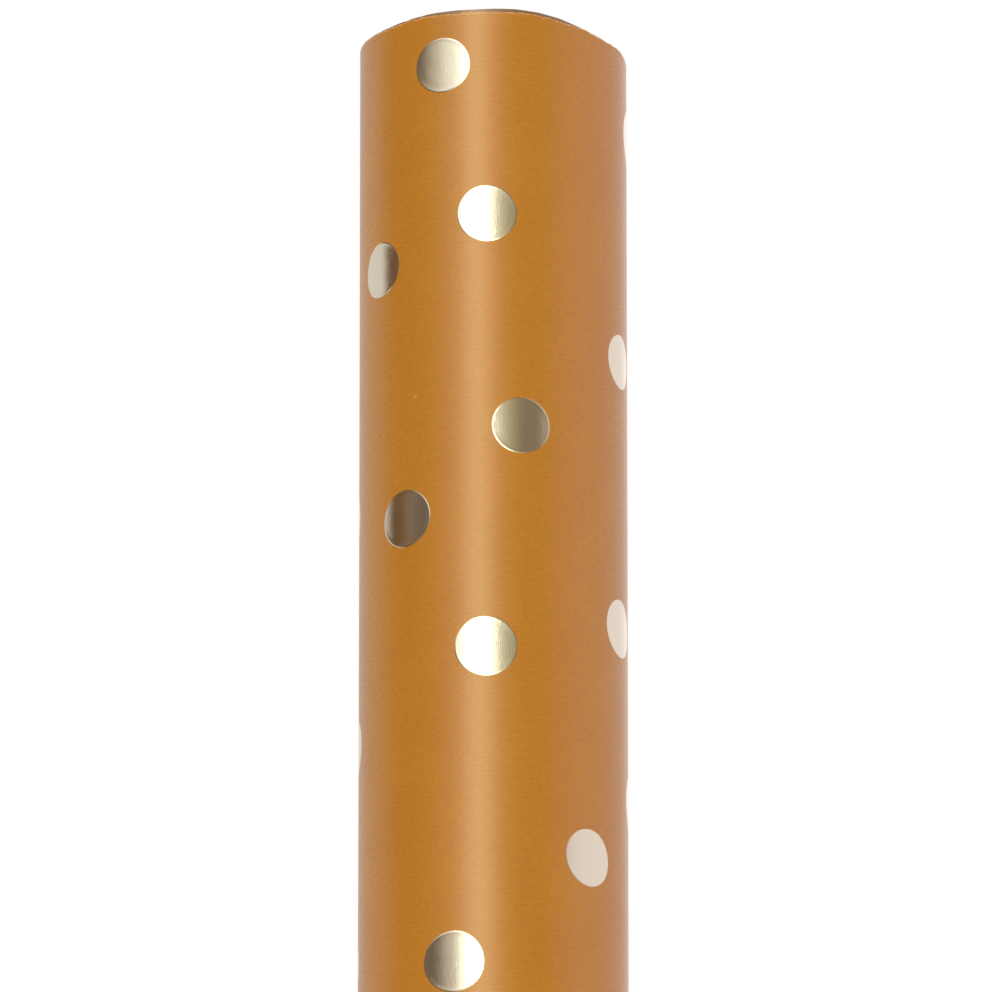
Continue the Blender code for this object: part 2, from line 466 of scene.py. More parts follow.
class EffectGroup:
    """A shader node group with named sockets, built once and placed in each material that uses it."""

    name = "effect"
    inputs: tuple[tuple[str, float], ...] = ()
    outputs: tuple[str, ...] = ()

    def __init__(self) -> None:
        """Build the group: a Vector and its own inputs, then its outputs."""
        self.group = bpy.data.node_groups.new(self.name, "ShaderNodeTree")
        sockets = self.group.interface
        sockets.new_socket(name="Vector", in_out="INPUT", socket_type="NodeSocketVector")
        for label, value in self.inputs:
            socket = sockets.new_socket(name=label, in_out="INPUT", socket_type="NodeSocketFloat")
            socket.default_value = value
        for label in self.outputs:
            sockets.new_socket(name=label, in_out="OUTPUT", socket_type="NodeSocketFloat")
        tree = Tree(self.group)
        inside = tree.add("NodeGroupInput").outputs
        outside = tree.add("NodeGroupOutput").inputs
        self.wire(tree, inside, outside)

    def wire(self, tree: Tree, inside: bpy.types.NodeOutputs, outside: bpy.types.NodeInputs) -> None:
        """Join the group's inputs to its outputs."""
        raise NotImplementedError

    def place(self, tree: Tree, vector: Socket, **values: object) -> bpy.types.NodeOutputs:
        """Place the group in a material.

        Args:
            tree: the material's nodes.
            vector: the coordinates that the effect follows, in metres.
            values: a number or socket for each named input, with _ for its spaces.

        Returns:
            The group's outputs.
        """
        inputs = {name.replace("_", " "): value for name, value in values.items()}
        return tree.add("ShaderNodeGroup", {"Vector": vector, **inputs}, node_tree=self.group).outputs


class FibreGrain(EffectGroup):
    """Fibres that run along a sheet: how light each spot is and how high it stands."""

    name = "fibre_grain"
    felting: tuple[float, float, float] = (2.3, 1.7, 1.0)
    inputs = (("Fibre Length", 1.2 * MM), ("Fibre Width", 0.4 * MM), ("Cloud Size", 20 * MM))
    outputs = ("Tone", "Height")

    def wire(self, tree: Tree, inside: bpy.types.NodeOutputs, outside: bpy.types.NodeInputs) -> None:
        """Join long noise for the fibres with wide noise for the clouds in the stock."""
        sizes = {"X": inside["Fibre Length"], "Y": inside["Fibre Width"]}
        shares = {axis: tree.math("DIVIDE", 1.0, size) for axis, size in sizes.items()}
        combined = tree.add("ShaderNodeCombineXYZ", shares).outputs[0]
        stretched = tree.vector("MULTIPLY", inside["Vector"], combined)
        fibres = tree.noise(stretched, detail=3.0)
        felted = tree.noise(tree.vector("MULTIPLY", stretched, self.felting), detail=2.0)
        clouds = tree.noise(tree.in_units(inside["Vector"], inside["Cloud Size"]), detail=2.0)
        tree.put(outside["Tone"], tree.weigh(0.6, fibres, clouds))
        tree.put(outside["Height"], tree.weigh(0.5, fibres, felted))


class EdgeWearAndShade(EffectGroup):
    """A ragged band along a cut edge: rubbed print, and on the inner turns painted shade as well.

    The part of the noise that is used takes the band from the first to the second share of its
    width, and the band is solid over the nearest share of that.
    """

    name = "edge_wear_and_shade"
    noise_used: tuple[float, float] = (0.36, 0.72)
    widths: tuple[float, float] = (0.12, 1.7)
    solid_share: float = 0.45
    inputs = (("Distance", 0.0), ("Width", 0.5 * MM), ("Nick Size", 0.8 * MM))
    outputs = ("Mask",)

    def wire(self, tree: Tree, inside: bpy.types.NodeOutputs, outside: bpy.types.NodeInputs) -> None:
        """Fade the band of rubbing and painted shade out with the distance, over a width that noise makes
        ragged.
        """
        fine = tree.noise(tree.in_units(inside["Vector"], inside["Nick Size"]), detail=3.0)
        width = tree.math("MULTIPLY", inside["Width"], tree.between(fine, *self.noise_used, *self.widths))
        share = tree.math("DIVIDE", inside["Distance"], width)
        tree.put(outside["Mask"], tree.between(share, self.solid_share, 1.0, 1.0, 0.0))


class Specks(EffectGroup):
    """Small round spots, solid over the nearest share of their radius: dust, flecks and pinholes, and on the
    print painted glints as well.
    """

    name = "specks"
    least_size: float = 0.35
    solid_share: float = 0.6
    inputs = (("Spacing", 4 * MM), ("Size", 0.06), ("Share", 0.3))
    outputs = ("Mask",)

    def wire(self, tree: Tree, inside: bpy.types.NodeOutputs, outside: bpy.types.NodeInputs) -> None:
        """Keep the middles of a share of scattered cells."""
        where = tree.in_units(inside["Vector"], inside["Spacing"])
        cells = tree.add("ShaderNodeTexVoronoi", {"Vector": where, "Scale": 1.0})
        split = tree.add("ShaderNodeSeparateColor", {0: cells.outputs["Color"]})
        kept = tree.math("LESS_THAN", split.outputs[0], inside["Share"])
        radius = tree.math("MULTIPLY", inside["Size"], tree.math("ADD", self.least_size, split.outputs[1]))
        away = tree.math("DIVIDE", cells.outputs["Distance"], radius)
        near = tree.between(away, self.solid_share, 1.0, 1.0, 0.0)
        tree.put(outside["Mask"], tree.math("MULTIPLY", near, kept))


@dataclass
class Effects:
    """The node groups that the finishes share."""

    grain: FibreGrain = field(default_factory=FibreGrain)
    wear_and_shade_group: EdgeWearAndShade = field(default_factory=EdgeWearAndShade)
    specks: Specks = field(default_factory=Specks)


# ---------------------------------------------------------------- finishes


@dataclass(frozen=True)
class FibreTone:
    """The colours of a stock's light and dark fibres, or of ink where it is thick and thin."""

    light: Colour
    dark: Colour


class Finish:
    """A material: a Principled shader whose varied inputs come from a few nodes."""

    label = "finish"

    def __init__(self, effects: Effects) -> None:
        """Build the material."""
        self.effects = effects
        self.material = bpy.data.materials.new(self.label)
        self.material.use_nodes = True
        self.tree = Tree(self.material.node_tree)
        self.shader = self.material.node_tree.nodes["Principled BSDF"]
        self.dress()

    def dress(self) -> None:
        """Set the shader and join what varies over the surface."""
        raise NotImplementedError

    def set(self, **values: object) -> None:
        """Give inputs of the shader a socket or a plain value, with _ for the spaces in their names."""
        for name, value in values.items():
            self.tree.put(self.shader.inputs[name.replace("_", " ")], value)

    def map(self, name: str) -> Socket:
        """Return the coordinates of a UV map, which are in metres."""
        return self.tree.add("ShaderNodeUVMap", uv_map=name).outputs["UV"]

    def edge_distance(self) -> Socket:
        """Return the distance to the nearest upper or lower cut edge."""
        return self.tree.add("ShaderNodeSeparateXYZ", {0: self.map(EDGE_MAP)}).outputs["Y"]

    def grain(self, length: float, width: float, clouds: float) -> bpy.types.NodeOutputs:
        """Return the tone and height of fibres and of the clouds they form, of sizes in millimetres."""
        sizes = {"Fibre_Length": length * MM, "Fibre_Width": width * MM, "Cloud_Size": clouds * MM}
        return self.effects.grain.place(self.tree, self.map(SHEET_MAP), **sizes)

    def fibre_colour(self, tone: Socket, fibres: FibreTone, low: float = 0.35, high: float = 0.65) -> Socket:
        """Return the colour of fibres, light where a tone is low and dark where it is high."""
        return self.tree.mix(self.tree.between(tone, low, high), fibres.light, fibres.dark)

    def speckle(self, base: object, spot: Colour, strength: float, **specks: float) -> Socket:
        """Return a colour with specks of another scattered on it, as strong as a share."""
        mask = self.effects.specks.place(self.tree, self.map(SHEET_MAP), **specks)["Mask"]
        return self.tree.mix(self.tree.math("MULTIPLY", mask, strength), base, spot)

    def vary_roughness(self, value: Socket, least: float, most: float, high: float = 0.7) -> None:
        """Let the roughness run from its least to its most as a value goes from 0.3 to high."""
        self.set(Roughness=self.tree.between(value, 0.3, high, least, most))

    def bump(self, height: Socket, depth: float, strength: float = 1.0) -> None:
        """Raise the surface by a height between 0 and 1, times a depth in metres."""
        inputs = {"Height": height, "Distance": depth, "Strength": strength}
        self.set(Normal=self.tree.add("ShaderNodeBump", inputs).outputs["Normal"])


@dataclass(frozen=True)
class PrintTone:
    """The colours and gloss of a printed face."""

    ink: FibreTone = FibreTone((0.474, 0.186, 0.0118), (0.500, 0.202, 0.0148))
    # The colour under the edge mask: lighter rubbed fibre on the outermost turn; the inner turns' dark brown
    # is painted shade as well as rubbing.
    wear_and_shade: Colour = (0.67, 0.38, 0.175)
    # Light specks: pinholes in the ink, and painted glints on raised fibres.
    pinhole_and_glint: Colour = (0.95, 0.75, 0.5)
    roughness: tuple[float, float] = (0.26, 0.30)
    wear_and_shade_width: float = 0.34 * MM
    nick_size: float = 0.45 * MM


class PrintedPaper(Finish):
    """Satin paper printed ochre, with faint fibres, light specks that are pinholes and painted glints, and
    rubbed edges.
    """

    label = "ochre_print"
    tone = PrintTone()

    def dress(self) -> None:
        """Blend the ink's tones, its pinholes with painted glints, and its rubbed edges, which are painted
        shade as well on the inner turns.
        """
        tone, grain = self.tone, self.grain(1.6, 0.5, 11)
        inked = self.fibre_colour(grain["Tone"], tone.ink)
        # Light specks: pinholes, painted light enough to stand for glints on raised fibres as well.
        spotted = self.speckle(inked, tone.pinhole_and_glint, 0.6, Spacing=7 * MM, Size=0.028, Share=0.3)
        # The edge mask: rubbed print, and on the inner turns painted shade.
        sizes = {"Distance": self.edge_distance(), "Width": tone.wear_and_shade_width, "Nick_Size": tone.nick_size}
        wear_and_shade = self.effects.wear_and_shade_group.place(self.tree, self.map(SHEET_MAP), **sizes)
        self.set(Base_Color=self.tree.mix(wear_and_shade["Mask"], spotted, tone.wear_and_shade), IOR=1.6)
        self.vary_roughness(grain["Height"], *tone.roughness)
        self.bump(grain["Height"], 0.002 * MM, 0.35)


class InnerPrint(PrintedPaper):
    """The same print on the turns further in, whose edges are rubbed deeper and darkened to dark brown as
    painted shade in the narrow step between the turns.
    """

    label = "ochre_print_inner_turns"
    # The wide dark brown band at the inner turns' edges is painted shade in the step between turns, as well
    # as rubbing.
    tone = PrintTone(wear_and_shade=(0.25, 0.137, 0.09), wear_and_shade_width=1.6 * MM, nick_size=0.7 * MM)


class PaperBack(Finish):
    """The unprinted back of the sheet: off-white, with the ink just showing through."""

    label = "paper_back"
    tone = FibreTone((0.80, 0.76, 0.69), (0.72, 0.66, 0.57))

    def dress(self) -> None:
        """Blend two near whites."""
        grain = self.grain(1.4, 0.4, 6)
        self.set(Base_Color=self.fibre_colour(grain["Tone"], self.tone, 0.3, 0.7), Roughness=0.75)
        self.bump(grain["Height"], 0.01 * MM, 0.7)


class CutPaper(Finish):
    """The cut edges of the sheet: white fibre with a trace of ink."""

    label = "paper_cut_edge"
    tone = FibreTone((0.78, 0.72, 0.63), (0.60, 0.42, 0.24))

    def dress(self) -> None:
        """Blend clean and inked fibre."""
        grain = self.grain(0.5, 0.5, 2)
        self.set(Base_Color=self.fibre_colour(grain["Tone"], self.tone), Roughness=0.85)
        self.bump(grain["Height"], 0.02 * MM)


class GoldFoil(Finish):
    """Hot-stamped pale-gold foil: a mirror with dust, fine rubs and the paper's tooth under it."""

    label = "gold_foil"
    bright: Colour = (0.745, 0.69, 0.57)
    dusty: Colour = (0.27, 0.20, 0.13)

    def dress(self) -> None:
        """Dull a bright metal with specks and rubs."""
        rubs = self.grain(0.25, 3, 5)
        dulled = self.speckle(self.bright, self.dusty, 0.65, Spacing=0.9 * MM, Size=0.09, Share=0.12)
        self.set(Base_Color=dulled, Metallic=1.0)
        self.vary_roughness(rubs["Tone"], 0.06, 0.13, high=0.75)
        self.bump(rubs["Height"], 0.026 * MM, 0.6)


class Kraft(Finish):
    """Kraft liner: brown, matt, with long fibres and dark flecks."""

    label = "kraft_liner"
    tone = FibreTone((0.50, 0.34, 0.20), (0.38, 0.25, 0.14))
    fleck: Colour = (0.16, 0.10, 0.06)

    def dress(self) -> None:
        """Blend light and dark fibres, and scatter flecks."""
        grain = self.grain(4, 0.5, 15)
        fibres = self.fibre_colour(grain["Tone"], self.tone)
        flecked = self.speckle(fibres, self.fleck, 0.6, Spacing=3 * MM, Size=0.08, Share=0.35)
        self.set(Base_Color=flecked)
        self.vary_roughness(grain["Height"], 0.78, 0.92)
        self.bump(grain["Height"], 0.03 * MM, 0.8)


class GreyBoard(Kraft):
    """Recycled board for the middle ply: greyer, with more in it."""

    label = "grey_board"
    tone = FibreTone((0.42, 0.35, 0.27), (0.30, 0.25, 0.19))


class ClearFilm(Finish):
    """Clear adhesive film, glossy, with a faint haze where the glue is thin."""

    label = "clear_film"

    def dress(self) -> None:
        """Let most of the light through, less where the film is hazy."""
        haze = self.grain(3, 3, 14)
        alpha = self.tree.between(haze["Tone"], 0.35, 0.7, 0.08, 0.14)
        self.set(Base_Color=(0.93, 0.92, 0.88, 1.0), IOR=1.49, Alpha=alpha)
        self.vary_roughness(haze["Height"], 0.08, 0.2)
        self.bump(haze["Height"], 0.01 * MM, 0.5)


@dataclass
class Finishes:
    """Every finish of the roll, each built once."""

    effects: Effects = field(default_factory=Effects)

    def __post_init__(self) -> None:
        """Build the materials."""
        self.printed = PrintedPaper(self.effects).material
        self.inner_print = InnerPrint(self.effects).material
        self.back = PaperBack(self.effects).material
        self.cut = CutPaper(self.effects).material
        self.foil = GoldFoil(self.effects).material
        self.liner = Kraft(self.effects).material
        self.board = GreyBoard(self.effects).material
        self.film = ClearFilm(self.effects).material


def give(piece: bpy.types.Object, slot: Slot, *materials: bpy.types.Material) -> None:
    """Give a piece its materials."""
    for material in materials:
        piece.data.materials.append(material)


# ---------------------------------------------------------------- the core


@dataclass(frozen=True)
class CardCore:
    """The cardboard tube: three plies, each a strip wound as a helix with its seam turned from the last."""

    shape: RollShape
    finishes: Finishes
    pitch: float = 95.25 * MM
    seam: float = 0.3 * MM
    steps: int = 72
    strip_rows: int = 5
    stagger: float = math.radians(120)
    hairline: float = 0.02 * MM

    def build(self) -> None:
        """Build the plies from the bore outwards."""
        plies = (
            ("core_liner_inside", "core_inner_ply", self.finishes.liner, Slot.LINER),
            ("core_board", "core_middle_ply", self.finishes.board, Slot.BOARD),
            ("core_liner_outside", "core_outer_ply", self.finishes.liner, Slot.LINER),
        )
        wall = (self.shape.core_radius - self.shape.bore_radius) / len(plies)
        for index, (name, node, material, slot) in enumerate(plies):
            outer = self.shape.bore_radius + wall * (index + 1)
            bottom, top = (corner.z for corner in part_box(node))
            ply = self.wind(name, outer, wall - self.hairline, index * self.stagger, bottom, top)
            give(ply, slot, material)
            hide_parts(node)
            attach(ply, "core")
            LOG.info("%s: %d faces", name, len(ply.data.polygons))

    def wind(
        self, name: str, radius: float, thickness: float, start: float, bottom: float, top: float
    ) -> bpy.types.Object:
        """Wind one ply.

        Args:
            name: the piece's name.
            radius: the radius of its outer face.
            thickness: how thick the strip is.
            start: the azimuth at which its seam starts.
            bottom: the height of its lower end.
            top: the height of its upper end.

        Returns:
            The ply, cut square at both ends.
        """
        turns = math.ceil((top - bottom) / self.pitch) + 1
        angle = np.linspace(0, math.tau * turns, self.steps * turns + 1)
        across = np.linspace(0, self.pitch - self.seam, self.strip_rows)
        height = bottom - self.pitch + angle[:, None] * self.pitch / math.tau + across[None, :]
        points = round_axis(radius, (start + angle)[:, None], height)
        ply = object_of(name, points, grid_faces(*height.shape))
        run = math.hypot(math.tau * radius, self.pitch) / math.tau
        along = np.broadcast_to((angle * run)[:, None], height.shape).ravel()
        SheetMesher.add_map(ply, SHEET_MAP, along, np.tile(across, len(angle)))
        self.cut_square(ply, bottom, top)
        thicken(ply, thickness)
        shade(ply)
        return ply

    @staticmethod
    def cut_square(ply: bpy.types.Object, bottom: float, top: float) -> None:
        """Cut an open ply off level at two heights."""
        bm = bmesh.new()
        bm.from_mesh(ply.data)
        for height, keep_above in ((bottom, True), (top, False)):
            bmesh.ops.bisect_plane(
                bm,
                geom=bm.verts[:] + bm.edges[:] + bm.faces[:],
                dist=0.0001 * MM,
                plane_co=(0, 0, height),
                plane_no=(0, 0, 1),
                clear_inner=keep_above,
                clear_outer=not keep_above,
            )
        bm.to_mesh(ply.data)
        bm.free()


# ---------------------------------------------------------------- the paper


@dataclass(frozen=True)
class Region:
    """A length of the sheet that is one piece, the body or two bodies that it lies on, and its node."""

    name: str
    start: float
    end: float
    bodies: tuple[str, ...]
    bend: tuple[Vector, Vector] | None = None
    node: str | None = None

    def carry(self, piece: bpy.types.Object) -> None:
        """Attach a piece on a length without a bend to its body, and bake a piece on a bend where it stands.
        """
        if self.bend is None:
            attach(piece, self.bodies[0])
        else:
            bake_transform(piece)


@dataclass(frozen=True)
class WoundPaper:
    """The sheet itself: the inner turns, the outermost turn and the lengths of the free end."""

    shape: RollShape
    finishes: Finishes
    fine_step: float = math.radians(1)
    back_step: float = math.radians(1.5)
    inner_step: float = math.radians(5)
    seam_step: float = math.radians(0.1)
    short_bend: float = math.radians(7)
    front: float = math.radians(100)
    fine_inner_turns: float = 1.25
    fine_steps_a_curl: int = 48
    room_left: float = 0.05 * MM
    inner_row_step: float = 80 * MM
    nicks: float = 0.18 * MM
    inner_nicks: float = 0.12 * MM

    def on_face(self, turn: float) -> Vector:
        """Return the point of the printed face at a turn, halfway up the roll."""
        return Vector(self.shape.point(np.array(turn), np.array(self.shape.length / 2)).tolist())

    def borders(self) -> list[float]:
        """Return the turns at which one bend of the free end meets the next, from its root outwards.

        Each bend lies round its hinge. The first starts nearer its hinge, so that it doesn't sink into
        the turn below, and the last stops nearer, so that the sheet under the seal tabs stays flat.
        """
        span = self.shape.curl / self.shape.strips
        inner = [self.shape.curl - span * (number - 0.5) for number in range(1, self.shape.strips)]
        return [self.shape.curl + self.short_bend, *inner, span - self.short_bend]

    def regions(self) -> list[Region]:
        """Return the bends of the free end, the flat length at the free edge and the outermost turn."""
        found = []
        before = "roll"
        borders = self.borders()
        for number, (start, end) in enumerate(zip(borders, borders[1:]), 1):
            body = f"free_end_strip_{number}"
            bend = (self.on_face(start), self.on_face(end))
            found.append(Region(f"free_end_bend_{number}", end, start, (before, body), bend, body))
            before = body
        found.append(Region("free_edge", 0.0, borders[-1], (before,)))
        last = self.shape.curl + math.tau
        found.append(Region("outer_turn", borders[0], last, ("roll",), None, "outer_turn"))
        return found

    def columns(self, start: float, end: float) -> Array:
        """Return the turns of a piece's columns: close together in front and at its two seams."""
        turns = [start, start + self.seam_step]
        while turns[-1] < end - self.back_step:
            azimuth = float(self.shape.azimuth(np.array(turns[-1])))
            turns.append(turns[-1] + (self.fine_step if abs(azimuth) < self.front else self.back_step))
        if turns[-1] > end - 2 * self.seam_step:
            turns.pop()
        return np.array(turns + [end - self.seam_step, end])

    def inner_columns(self) -> Array:
        """Return the turns of the inner turns' columns, closer together on the outer ones."""
        start = self.shape.curl + math.tau
        middle = start + self.fine_inner_turns * math.tau
        room = self.shape.radius - self.shape.core_radius - self.shape.sheet_thickness - self.room_left
        end = room / self.shape.turn_pitch * math.tau
        fine = np.arange(start, middle, self.shape.curl / self.fine_steps_a_curl)
        coarse = np.arange(middle, end, self.inner_step)
        return np.concatenate([fine, coarse])

    def build(self) -> list[Region]:
        """Build every length of the sheet, and return those that carry foil."""
        mesher = SheetMesher(self.shape)
        coarse = SheetMesher(self.shape, row_step=self.inner_row_step)
        inner = coarse.build("inner_turns", self.inner_columns(), self.inner_nicks)
        give(inner, Slot.CUT_EDGE, self.finishes.inner_print, self.finishes.back, self.finishes.cut)
        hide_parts("wound_paper")
        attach(inner, "roll")
        LOG.info("inner turns: %d faces", len(inner.data.polygons))
        regions = self.regions()
        for region in regions:
            piece = mesher.build(region.name + "_sheet", self.columns(region.start, region.end), self.nicks)
            give(piece, Slot.PRINT, self.finishes.printed, self.finishes.back, self.finishes.cut)
            if region.node:
                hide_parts(region.node)
            region.carry(piece)
            LOG.info("%s: %d faces", piece.name, len(piece.data.polygons))
        return regions


# ---------------------------------------------------------------- the foil dots


@dataclass(frozen=True)
class Dot:
    """A foil dot: where its middle is on the flat sheet, and its radius."""

    wound: float
    height: float
    radius: float


@dataclass(frozen=True)
class FoilDots:
    """The scatter of foil dots stamped on the sheet.

    The dots in front are listed one by one, as azimuth in degrees, distance below the roll's full length
    in millimetres, and radius in millimetres. The others are scattered evenly round them, outside the
    half angle and the height in front that are kept for them. Some hang over the free edge and the ends,
    where they are cut off. The rim is the rings of points at a dot's edge: a share of its radius, and
    how high the foil stands there.
    """

    shape: RollShape
    finishes: Finishes
    front: tuple[tuple[float, float, float], ...] = (
        (-22.5, 10.9, 5.65),
        (-2.7, 41.1, 5.8),
        (-56.8, 49.2, 5.65),
        (71.0, 66.0, 5.5),
        (12.0, 83.2, 5.7),
        (-40.6, 100.2, 5.85),
        (70.0, 119.2, 5.85),
        (-3.2, 126.8, 6.05),
        (44.7, 166.5, 5.75),
        (-17.0, 188.1, 6.1),
        (90.0, 19.0, 5.8),
        (-90.0, 141.0, 5.8),
        (92.0, 152.0, 5.8),
    )
    stamped: float = 0.03 * MM
    sunk: float = 0.012 * MM
    area_each: float = 1190 * MM * MM
    least_gap: float = 22 * MM
    sizes: tuple[float, float] = (5.6 * MM, 6.2 * MM)
    sides: int = 42
    rim: tuple[tuple[float, float], ...] = (
        (1.0, 0.0),
        (0.985, 0.55),
        (0.965, 0.95),
        (0.945, 0.85),
        (0.925, 0.75),
    )
    flat_rings: tuple[float, ...] = (0.8, 0.65, 0.5, 0.35, 0.2, 0.07)
    height_share: float = 0.97
    seed: int = 11
    tries: int = 30
    overhang: tuple[float, float] = (4 * MM, 3 * MM)
    front_half: float = math.radians(95)
    front_height: float = 205 * MM

    def dots(self) -> list[Dot]:
        """Return every dot on the outermost turn and under the free end."""
        shape = self.shape
        placed = []
        for azimuth, below, radius in self.front:
            turn = (math.radians(azimuth) - shape.free_edge) % math.tau
            placed.append(Dot(shape.length_wound(turn), shape.length - below * MM, radius * MM))
        last = shape.length_wound(shape.curl + math.tau)
        wanted = round(last * shape.length / self.area_each)
        chance = random.Random(self.seed)
        while len(placed) < wanted:
            tries = [self.random_dot(chance, last) for _ in range(self.tries)]
            gaps = [self.gap_to(dot, placed) for dot in tries]
            best = max(range(len(tries)), key=gaps.__getitem__)
            if gaps[best] > self.least_gap:
                placed.append(tries[best])
            else:
                wanted -= 1
        return placed

    def random_dot(self, chance: random.Random, last: float) -> Dot:
        """Return a dot anywhere on the sheet but in front near the upper end."""
        past_free_edge, past_ends = self.overhang
        while True:
            wound = chance.uniform(-past_free_edge, last)
            height = chance.uniform(-past_ends, self.shape.length + past_ends)
            turn = self.shape.turn_at(max(wound, 0.0))
            azimuth = float(self.shape.azimuth(np.array(turn)))
            in_front = abs(azimuth) < self.front_half and turn < math.tau
            if not (in_front and height > self.shape.length - self.front_height):
                return Dot(wound, height, chance.uniform(*self.sizes))

    @staticmethod
    def gap_to(dot: Dot, others: list[Dot]) -> float:
        """Return the distance from a dot's middle to the nearest other's."""
        return min(math.hypot(dot.wound - o.wound, dot.height - o.height) for o in others)

    def build(self, regions: list[Region]) -> None:
        """Stamp the dots on each length of the sheet, cut off where the length ends."""
        dots = self.dots()
        LOG.info("foil dots: %d", len(dots))
        for region in regions:
            start, end = (self.shape.length_wound(turn) for turn in (region.start, region.end))
            near = [d for d in dots if start - d.radius < d.wound < end + d.radius]
            if near:
                piece = self.stamp(region.name + "_foil_dots", near, start, end)
                region.carry(piece)
                LOG.info("%s: %d dots", piece.name, len(near))

    def stamp(self, name: str, dots: list[Dot], start: float, end: float) -> bpy.types.Object:
        """Stamp dots on one length of the sheet.

        Args:
            name: the piece's name.
            dots: the dots that touch the length.
            start: where the length starts, along the sheet.
            end: where it ends.

        Returns:
            The dots as one piece.
        """
        bm = bmesh.new()
        for dot in dots:
            self.add_flat_dot(bm, dot, start, end)
        uv = bm.loops.layers.uv.new(SHEET_MAP)
        for face in bm.faces:
            for loop in face.loops:
                loop[uv].uv = loop.vert.co.xy
        flat = np.array([vertex.co for vertex in bm.verts])
        turns = np.array([self.shape.turn_at(wound) for wound in flat[:, 0]])
        for vertex, place in zip(bm.verts, self.shape.point(turns, flat[:, 1], flat[:, 2])):
            vertex.co = place
        mesh = bpy.data.meshes.new(name)
        bm.to_mesh(mesh)
        bm.free()
        piece = link(name, mesh)
        thicken(piece, self.sunk)
        shade(piece, 60)
        give(piece, Slot.FOIL, self.finishes.foil)
        return piece

    def add_flat_dot(self, bm: bmesh.types.BMesh, dot: Dot, start: float, end: float) -> None:
        """Add a dot to the flat sheet, less what lies past the ends of the length or the cut edges.

        Args:
            bm: the mesh that the dot goes in.
            dot: the dot.
            start: where the length starts, along the sheet.
            end: where it ends.
        """
        angle = np.arange(self.sides) * math.tau / self.sides
        rings = []
        flat_rise = self.rim[-1][1]
        for share, rise in (*self.rim, *((share, flat_rise) for share in self.flat_rings)):
            across = dot.wound + dot.radius * share * np.cos(angle)
            up = dot.height + dot.radius * share * self.height_share * np.sin(angle)
            rings.append([bm.verts.new((x, y, self.stamped * rise)) for x, y in zip(across, up)])
        faces = []
        for outer, inner in zip(rings, rings[1:]):
            for i in range(self.sides):
                j = (i + 1) % self.sides
                faces.append(bm.faces.new((outer[i], outer[j], inner[j], inner[i])))
        faces.append(bm.faces.new(rings[-1]))
        turn = np.array(self.shape.turn_at(min(max(dot.wound, start), end)))
        planes = (
            ((start, 0, 0), (-1, 0, 0)),
            ((end, 0, 0), (1, 0, 0)),
            ((0, float(self.shape.lower_edge(turn)), 0), (0, -1, 0)),
            ((0, float(self.shape.upper_edge(turn)), 0), (0, 1, 0)),
        )
        for place, away in planes:
            faces = [face for face in faces if face.is_valid]
            if not faces:
                return
            edges = {edge for face in faces for edge in face.edges}
            points = {vertex for face in faces for vertex in face.verts}
            cut = bmesh.ops.bisect_plane(
                bm,
                geom=[*points, *edges, *faces],
                dist=0.001 * MM,
                plane_co=place,
                plane_no=away,
                clear_outer=True,
            )
            faces = [item for item in cut["geom"] if isinstance(item, bmesh.types.BMFace)]


# ---------------------------------------------------------------- the seal tabs


@dataclass(frozen=True)
class SealTab:
    """A clear tab with round corners, laid over the free edge."""

    shape: RollShape
    finishes: Finishes
    node: str
    film: float = 0.05 * MM
    lift: float = 0.04 * MM
    corner: float = 2.5 * MM
    step_width: float = math.radians(2.5)
    columns: int = 41
    rows: int = 13

    def build(self) -> None:
        """Build the tab over the free edge."""
        low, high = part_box(self.node)
        joint = next(j for j in frame["joints"] if j["child"] == self.node)
        reach = joint_azimuth(joint) - self.shape.free_edge
        angle = np.linspace(reach, -reach, self.columns)
        tall = self.half_height(angle, reach, (high.z - low.z) / 2)
        share = np.linspace(-1, 1, self.rows)
        height = (low.z + high.z) / 2 + tall[:, None] * share[None, :]
        # Past the free edge the film slopes down to the turn below, which lies one pitch further in.
        turn = np.where(angle >= 0, angle, angle + math.tau)[:, None]
        step = self.shape.turn_pitch * ramp(angle, -self.step_width, 0)[:, None]
        step = np.where(angle[:, None] >= 0, 0.0, step)
        points = self.shape.point(turn, height, self.lift + step)
        tab = object_of(self.node + "_film", points, [face[::-1] for face in grid_faces(*height.shape)])
        along = np.broadcast_to((angle * self.shape.radius)[:, None], height.shape).ravel()
        SheetMesher.add_map(tab, SHEET_MAP, along, height.ravel())
        thicken(tab, self.film, outwards=True)
        shade(tab)
        give(tab, Slot.FILM, self.finishes.film)
        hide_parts(self.node)
        ends = [Vector(self.place(at, (low.z + high.z) / 2)) for at in (reach, -reach)]
        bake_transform(tab)
        LOG.info("%s: %d faces", tab.name, len(tab.data.polygons))

    def place(self, angle: float, height: float) -> list[float]:
        """Return the point of the roll's face at an angle from the free edge."""
        return self.shape.point(np.array(angle), np.array(height)).tolist()

    def half_height(self, angle: Array, reach: float, half: float) -> Array:
        """Return half the tab's height at each angle, less at its round corners.

        Args:
            angle: angles from the free edge.
            reach: the angle from the free edge to either end of the tab.
            half: half the height of its middle.

        Returns:
            Half the height at each angle.
        """
        past = np.maximum(np.abs(angle) * self.shape.radius - (reach * self.shape.radius - self.corner), 0.0)
        return half - self.corner + np.sqrt(np.maximum(self.corner**2 - past**2, 0.0))


# ---------------------------------------------------------------- the studio


